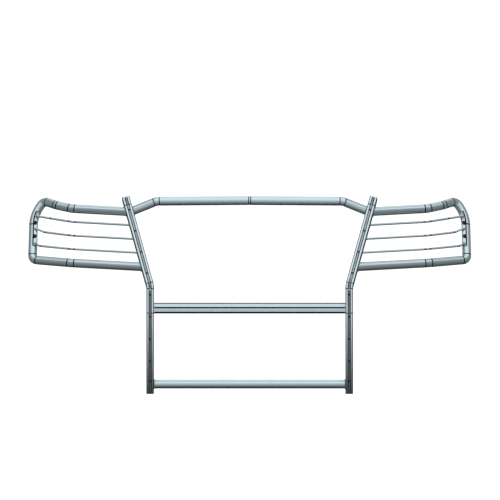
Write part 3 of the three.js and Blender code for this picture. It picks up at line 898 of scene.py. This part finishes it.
def wing_corners(side, riser):
    """The corners of a wing's hoop; the rods lie between those of its lower and its upper run."""
    def step(start, out, sweep_angle, rise):
        return start + Vector((side * out, out * tan(sweep_angle), rise))

    c = {"root": inside(riser, LOWER_WING_AT), "end": inside(riser, UPPER_WING_AT)}
    c["low_bend"] = step(c["root"], LOWER_RUN, WING_SWEEP, 0)
    c["low_corner"] = step(c["low_bend"], LOWER_END_RUN, LOWER_END_SWEEP, 0)
    c["high_bend"] = step(c["end"], UPPER_RUN, WING_SWEEP, 0)
    c["high_mid"] = step(c["high_bend"], UPPER_MID_RUN, UPPER_MID_SWEEP, UPPER_MID_RISE)
    c["high_corner"] = step(c["high_mid"], UPPER_END_RUN, UPPER_END_SWEEP, UPPER_END_RISE)
    c["shoulder"] = c["low_corner"] + Vector((-side * SHOULDER_IN, SHOULDER_BACK, SHOULDER_RISE))
    return c


def side_plane(riser, distance, outwards):
    """The flat side of an upright at a distance, a gap away, facing outwards or inwards."""
    place = riser.at(distance)
    normal = place.across * outwards
    return place.point + normal * (RISER_WIDTH / 2 + GAP), normal


def strap_seat(side, place, height):
    """The point at a height over the outer tube's axis, on the side the strap is on, and the way it faces."""
    facing = place.front * cos(STRAP_TURN) + place.across * side * sin(STRAP_TURN)
    return place.point + facing * height, facing


def hoop_piece(side, hand, riser, c):
    names = ("root", "low_bend", "low_corner", "shoulder", "high_corner", "high_mid", "high_bend", "end")
    radii = (LOW_BEND_RADIUS, CORNER_RADIUS, SHOULDER_RADIUS, CORNER_RADIUS, MID_BEND_RADIUS,
             HIGH_BEND_RADIUS)
    stations, bends = bent_run([c[n] for n in names], radii)
    route = Route(stations, UP)
    welded_tube(f"wing_hoop_{hand}", (f"weld_wing_low_{hand}", f"weld_wing_high_{hand}"), route,
                [route.distances[i] for pair in bends for i in pair],
                [side_plane(riser, at, -side) for at in (LOWER_WING_AT, UPPER_WING_AT)])


def outer_route(c):
    """The hoop's outer tube alone, which the strap and the rods' ends lie on."""
    stations, _ = bent_run([c["low_corner"], c["shoulder"], c["high_corner"]], [SHOULDER_RADIUS])
    return Route(stations, Vector((-1, 0, 0)))


def strap_piece(side, hand, outer):
    """The strap over the rods' ends, with a painted shadow line down its outer edge and across its ends."""
    low = TUBE_RADIUS + GAP
    high = low + STRAP_THICKNESS
    half = STRAP_WIDTH / 2
    soft = STRAP_EDGE_RADIUS
    corners = [(-half, low, soft), (half, low, soft), (half, high, soft), (half - STRAP_LINE, high, 0),
               (-half + STRAP_LINE, high, 0), (-half, high, soft)]
    ahead = cos(STRAP_TURN)
    aside = side * sin(STRAP_TURN)
    profile = [(x * ahead + y * aside, y * ahead - x * aside) for x, y in rounded(corners, 3)]
    first = STRAP_FROM + STRAP_END_LINE
    step = (STRAP_TO - STRAP_END_LINE - first) / STRAP_STEPS
    distances = [STRAP_FROM, *(first + step * i for i in range(STRAP_STEPS + 1)), STRAP_TO]
    # painted shadow: the outer edge's faces and both end bands take the painted shade, for the gap behind the
    # strap
    outer_edge = range(4, 12) if side < 0 else (*range(13, 18), 0, 1, 2)  # edges of the section
    mesh = sweep(f"rod_strap_{hand}", profile, outer, distances, dark_edges=outer_edge,
                 dark_bands=(0, len(distances) - 2))
    finish_piece(f"rod_strap_{hand}", mesh, [LIT_STEEL, SHADE_LINE])


def strap_bolt_piece(side, name, outer, distance):
    """A hexagon-head bolt through the strap."""
    point, facing = strap_seat(side, outer.at(distance), STRAP_FACE)
    head = BOLT_HEAD / 2
    shank = BOLT_SHANK / 2
    rows = [(shank / 2, -BOLT_REACH, False), (shank, BOLT_CHAMFER - BOLT_REACH, False),
            (shank, 0, False)]
    rows += [(head * share, height, hexagon) for share, height, hexagon in BOLT_SHAPE]
    first = Vector((1, 0, 0))
    first = (first - facing * first.dot(facing)).normalized()
    second = facing.cross(first)
    grid = Grid()
    rings = []
    for radius, height, hexagon in rows:
        points = []
        for i in range(BOLT_SIDES):
            angle = 360 * i / BOLT_SIDES
            from_flat = 30 - abs((angle + 30) % 60 - 30)
            r = min(radius, head * cos(30) / cos(from_flat)) if hexagon else radius
            points.append(point + facing * height + (first * cos(angle) + second * sin(angle)) * r)
        rings.append(grid.ring(points))
    heights = [i * BOLT_UV_STEP for i in range(len(rings))]
    grid.skin(rings, rounds_of(head, BOLT_SIDES), heights, [0] * len(rings))
    finish_piece(name, grid.mesh(name), [FASTENER], sharp=25)


def rod_piece(side, hand, index, riser, c, outer):
    """A rod from the upright to the strap, seated on the strap's face and domed at its end."""
    share = ROD_SHARES[index]
    seat = outer.at(ROD_ENDS_AT[index])
    end, facing = strap_seat(side, seat, STRAP_FACE + ROD_LIFT)
    corners = [c[low].lerp(c[high], share) for low, high in
               (("root", "end"), ("low_bend", "high_bend"), ("low_corner", "high_mid"))]
    stations, bends = bent_run([*corners, end], [ROD_BEND_RADIUS, ROD_END_RADIUS])
    stations = stations[:-2] + straight_run(*stations[-2:], ROD_END_STEPS)
    route = Route(stations, UP)
    grooves = [route.distances[i] for i in (*bends[0], bends[1][0])]
    plane = side_plane(riser, LOWER_WING_AT + (UPPER_WING_AT - LOWER_WING_AT) * share, -side)
    rows = stations_with_grooves(route, 0.0, route.length, grooves, ROD_RING_WIDTH, ROD_RING_DEPTH)
    face_point = strap_seat(side, seat, STRAP_FACE - ROD_SEAT)[0]
    across = facing.cross(seat.along)

    def seated(points):
        """Points over the strap, lifted onto its face."""
        lifted = []
        for p in points:
            below = (p - face_point).dot(facing)
            over = abs((p - face_point).dot(across)) < STRAP_WIDTH / 2 + ROD_SEAT_MARGIN
            lifted.append(p - facing * below if below < 0 and over else p)
        return lifted

    grid = Grid()
    rings = []
    for distance, inset, _ in rows:
        points = ring_points(route.at(distance), circle(ROD_SIDES, ROD_RADIUS - inset))
        if not rings:
            root = route.at(distance)
            root_points = points = mitred(points, root.along, plane)
        rings.append(grid.ring(seated(points)))
    place = route.at(route.length)
    tip = place.point
    for i in range(ROD_DOME_STEPS):
        angle = ROD_DOME_ANGLE * (i + 1) / ROD_DOME_STEPS
        place.point = tip + place.along * ROD_RADIUS * ROD_DOME_SHARE * sin(angle)
        rings.append(grid.ring(seated(ring_points(place, circle(ROD_SIDES, ROD_RADIUS * cos(angle))))))
    rows += [rows[-1]] * ROD_DOME_STEPS
    distances, _, slots = zip(*rows)
    grid.skin(rings, rounds_of(ROD_RADIUS, ROD_SIDES), distances, slots)
    name = f"wing_rod_{hand}_{index + 1}"
    finish_piece(name, grid.mesh(name))
    weld_bead(f"weld_rod_{hand}_{index + 1}", root_points, root, plane[1], ROD_WELD_RADIUS)


# ---- the cross members


def inner_planes(risers, distance):
    return [side_plane(risers[side], distance, side) for side in (-1, 1)]


def top_tube_piece(risers):
    """The top cross tube: cranked up near both ends and slightly crowned between."""
    left, right = (inside(risers[side], TOP_TUBE_AT) for side in (-1, 1))
    rise = (right.x - TOP_TUBE_FLAT) * tan(TOP_TUBE_SLANT)
    corners = [
        left,
        Vector((-TOP_TUBE_FLAT, right.y, right.z + rise)),
        Vector((0, right.y, right.z + rise + TOP_TUBE_CROWN)),
        Vector((TOP_TUBE_FLAT, right.y, right.z + rise)),
        right,
    ]
    stations, bends = bent_run(corners, [TOP_TUBE_RADIUS, TOP_CROWN_RADIUS, TOP_TUBE_RADIUS])
    route = Route(stations, UP)
    welded_tube("top_cross_tube", ("weld_top_left", "weld_top_right"), route,
                [route.distances[i] for pair in bends for i in pair], inner_planes(risers, TOP_TUBE_AT),
                TOP_RING_WIDTH)


def bottom_tube_piece(risers):
    right = inside(risers[1], BOTTOM_TUBE_AT)
    route = Route(straight_run(Vector((-right.x, right.y, right.z)), right), UP)
    welded_tube("bottom_cross_tube", ("weld_bottom_left", "weld_bottom_right"), route, (),
                inner_planes(risers, BOTTOM_TUBE_AT))


def cross_plate_piece(risers):
    """The folded plate between the uprights; its section is worked out as (distance back, height)."""
    seat = risers[1].at(CROSS_PLATE_AT)
    foot = seat.point - seat.front * PLATE_INSET
    heel = Vector((0, 0))
    fold = Vector((sin(PLATE_FACE_LEAN), cos(PLATE_FACE_LEAN))) * PLATE_FACE
    rear = fold + Vector((cos(PLATE_LEG_RISE), sin(PLATE_LEG_RISE))) * PLATE_TOP_LEG
    outside = [Vector((PLATE_BOTTOM_LEG, 0)), heel, fold, rear]
    ways = [(b - a).normalized() for a, b in zip(outside, outside[1:])]
    normals = [Vector((way.y, -way.x)) for way in ways]
    inner = [point + (before + after) * (PLATE_SHEET / (1 + before.dot(after)))
             for point, before, after in zip(outside, normals[:1] + normals, normals + normals[-1:])]

    def beside(corner, towards, distance):
        """A point on the outline at a distance from one of its corners."""
        return (*(corner + (towards - corner).normalized() * distance), 0)

    corners = [
        (*outside[0], SHEET_EDGE), (*heel, PLATE_BENDS[0]), beside(heel, fold, PLATE_HEEL_LINE),
        beside(fold, heel, PLATE_FOLD_LINES[0]), (*fold, PLATE_BENDS[1]),
        beside(fold, rear, PLATE_FOLD_LINES[1]), beside(rear, fold, PLATE_REAR_LINE), (*rear, SHEET_EDGE),
    ]
    inner_bends = (SHEET_EDGE, PLATE_INNER_BEND, PLATE_INNER_BEND, SHEET_EDGE)
    corners += [(*point, bend) for point, bend in zip(inner[::-1], inner_bends)]
    section = rounded(corners)
    # edges near the heel, the fold and the rear edge take the painted shade
    marks = ((heel, PLATE_HEEL_LINE), (fold, max(PLATE_FOLD_LINES)), (rear, PLATE_REAR_LINE))
    dark = [i for i, (a, b) in enumerate(edges_of(section))
            if any(((Vector(a) + Vector(b)) / 2 - at).length < near for at, near in marks)]
    x = RISER_SPACING / 2 - RISER_WIDTH / 2 - GAP
    route = Route(straight_run(Vector((-x, foot.y, foot.z)), Vector((x, foot.y, foot.z))), UP)
    profile = [(up, -back) for back, up in section]
    mesh = sweep("cross_plate", profile, route, route.distances, dark_edges=dark)
    finish_piece("cross_plate", mesh)


# ---- the frame brackets


def bracket_piece(side, hand, riser):
    """A sheet bracket with two bolt holes, following the sweep of the upright it stands in."""
    outline = []
    for i in range(BRACKET_STEPS + 1):
        place = riser.at(BRACKET_FROM + (BRACKET_TO - BRACKET_FROM) * i / BRACKET_STEPS)
        point = place.point - place.front * (RISER_SHEET + GROOVE_DEPTH + BRACKET_CLEARANCE)
        outline.append((point.y, point.z))
    reach = BRACKET_HOLE_PITCH / 2 + BRACKET_TAIL
    top = BRACKET_TAIL
    outline += [
        (0.0, top + BRACKET_PEAK), (reach - BRACKET_CORNER, top), (reach, top - BRACKET_CORNER),
        (reach, BRACKET_CORNER - top), (reach - BRACKET_CORNER, -top), (-reach, -top),
    ]
    loops = [outline]
    for end in (-1, 1):
        middle = end * BRACKET_HOLE_PITCH / 2
        loops.append([(middle + BRACKET_HOLE / 2 * cos(a), BRACKET_HOLE / 2 * sin(a))
                      for a in range(0, 360, BRACKET_HOLE_STEP)])
    curve = bpy.data.curves.new(f"frame_bracket_{hand}", "CURVE")
    curve.dimensions = "2D"
    curve.fill_mode = "BOTH"
    curve.extrude = BRACKET_SHEET / 2 - BRACKET_BEVEL
    curve.bevel_depth = BRACKET_BEVEL
    curve.bevel_resolution = 2
    curve.offset = -BRACKET_BEVEL
    for loop in loops:
        spline = curve.splines.new("POLY")
        spline.points.add(len(loop) - 1)
        for target, (y, z) in zip(spline.points, loop):
            target.co = (y, z, 0, 1)
        spline.use_cyclic_u = True
    holder = placed("bracket_outline", curve)
    bpy.context.view_layer.update()
    mesh = bpy.data.meshes.new_from_object(holder.evaluated_get(bpy.context.evaluated_depsgraph_get()))
    bpy.data.objects.remove(holder)
    x = side * (RISER_SPACING / 2 - RISER_WIDTH / 2 + RISER_SHEET + GAP + BRACKET_SHEET / 2)
    mesh.transform(Matrix(((0, 0, 1, x), (1, 0, 0, 0), (0, 1, 0, 0), (0, 0, 0, 1))))
    joined = bmesh.new()
    joined.from_mesh(mesh)
    bmesh.ops.remove_doubles(joined, verts=joined.verts, dist=MERGE_DISTANCE)
    joined.to_mesh(mesh)
    joined.free()
    mesh.materials.clear()
    finish_piece(f"frame_bracket_{hand}", mesh, [COATING])


# ---- assembly

risers = {-1: riser_route(-1), 1: riser_route(1)}
for side, hand in ((-1, "left"), (1, "right")):
    riser = risers[side]
    riser_piece(side, hand, riser)
    strip_piece(f"lower_strip_{hand}", LOWER_STRIP, riser, RUBBER)
    # the upper strip takes the rubber painted lighter
    strip_piece(f"upper_strip_{hand}", UPPER_STRIP, riser, LIT_RUBBER)
    strip_piece(f"knee_cap_{hand}", KNEE_CAP, riser, PLASTIC)
    strip_piece(f"top_cap_{hand}", TOP_CAP, riser, PLASTIC)
    for i, at in enumerate(sorted(PLAIN_SCREWS + CAP_SCREWS)):
        screw_piece(f"strip_screw_{hand}_{i + 1}", riser, at, at in CAP_SCREWS)
    corners = wing_corners(side, riser)
    outer = outer_route(corners)
    hoop_piece(side, hand, riser, corners)
    strap_piece(side, hand, outer)
    for i, at in enumerate(STRAP_BOLTS_AT):
        strap_bolt_piece(side, f"strap_bolt_{hand}_{i + 1}", outer, at)
    for i in range(len(ROD_SHARES)):
        rod_piece(side, hand, i, riser, corners, outer)
    bracket_piece(side, hand, riser)
top_tube_piece(risers)
bottom_tube_piece(risers)
cross_plate_piece(risers)

# ---- studio

floor_mesh = bpy.data.meshes.new("floor")
floor_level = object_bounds()[0].z - FLOOR_DROP
floor_corners = [(x * FLOOR_REACH, y * FLOOR_REACH, floor_level)
                 for x, y in ((-1, -1), (1, -1), (1, 1), (-1, 1))]
floor_mesh.from_pydata(floor_corners, [], [(0, 1, 2, 3)])
floor = placed("floor", floor_mesh)
floor_material = new_material("pale_floor", (0.93, 0.93, 0.93), 0.0, 0.9, specular=0.0)
two_tones(floor_material, noise(floor_material, 3.0), (0.93, 0.93, 0.93), (0.95, 0.95, 0.95))
feed(floor_material, (1, 1, 1), surface(floor_material, "Emission Color"))
feed(floor_material, FLOOR_GLOW, surface(floor_material, "Emission Strength"))
floor_mesh.materials.append(floor_material)
floor.visible_glossy = False
floor.visible_diffuse = False

world = bpy.data.worlds.new("studio")
bpy.context.scene.world = world
world.use_nodes = True
world.node_tree.nodes.clear()


def ramp(points, value, lowest=-1):
    """A grey ramp through (value, level) points, over values from the lowest to 1."""
    made = node(world, "ShaderNodeValToRGB")
    elements = made.color_ramp.elements
    while len(elements) < len(points):
        elements.new(0.5)
    for element, (place, level) in zip(elements, points):
        element.position = (place - lowest) / (1 - lowest)
        element.color = (level, level, level, 1)
    feed(world, value, made.inputs["Fac"])
    return made.outputs["Color"]


split = node(world, "ShaderNodeSeparateXYZ")
feed(world, node(world, "ShaderNodeTexCoord").outputs["Generated"], split.inputs[0])
height = calculated(world, "MULTIPLY_ADD", split.outputs["Z"], 0.5, 0.5)
backwards = calculated(world, "MULTIPLY_ADD", split.outputs["Y"], 0.5, 0.5)
sideways = calculated(world, "ABSOLUTE", split.outputs["X"])
middle = blended(world, ramp(BACKWARDS, backwards), ramp(FRONT_LIGHT, height), ramp(BACK_LIGHT, height))
reach_up = calculated(world, "MAXIMUM", ramp(HIGH_UP, height), ramp(TURNING_BACK, backwards))
dark_back = calculated(world, "MINIMUM", ramp(FAR_BACK, backwards), ramp(LOW_DOWN, height))
side_share = calculated(world, "MULTIPLY", ramp(SIDEWAYS, sideways, 0), reach_up)
side_share = calculated(world, "SUBTRACT", side_share, dark_back)
studio = node(world, "ShaderNodeBackground")
feed(world, blended(world, side_share, middle, ramp(SIDE_LIGHT, height)), studio.inputs["Color"])
plain = node(world, "ShaderNodeBackground", Color=(1, 1, 1, 1), Strength=BACKGROUND)
mixed = node(world, "ShaderNodeMixShader")
sources = (node(world, "ShaderNodeLightPath").outputs["Is Camera Ray"], studio.outputs[0], plain.outputs[0])
for source, target in zip(sources, mixed.inputs):
    feed(world, source, target)
feed(world, mixed.outputs[0], node(world, "ShaderNodeOutputWorld").inputs["Surface"])

soft = bpy.data.lights.new("soft_box", "AREA")
soft.shape = "RECTANGLE"
soft.size, soft.size_y = SOFT_BOX_SIZE
soft.energy = SOFT_BOX_ENERGY
soft_box = placed("soft_box", soft)
soft_box.location = SOFT_BOX_AT
soft_box.rotation_euler = (math.radians(SOFT_BOX_TILT), 0, 0)
soft_box.visible_glossy = False

lens = bpy.data.cameras.new("camera")
lens.type = "ORTHO"
lens.ortho_scale = VIEW_WIDTH
camera = placed("camera", lens)
camera.location = VIEW_CENTRE + Vector((0, -cos(VIEW_ELEVATION), sin(VIEW_ELEVATION))) * VIEW_DISTANCE
camera.rotation_euler = (math.radians(90 - VIEW_ELEVATION), 0, 0)
bpy.context.scene.camera = camera
bpy.context.scene.view_settings.view_transform = "Standard"
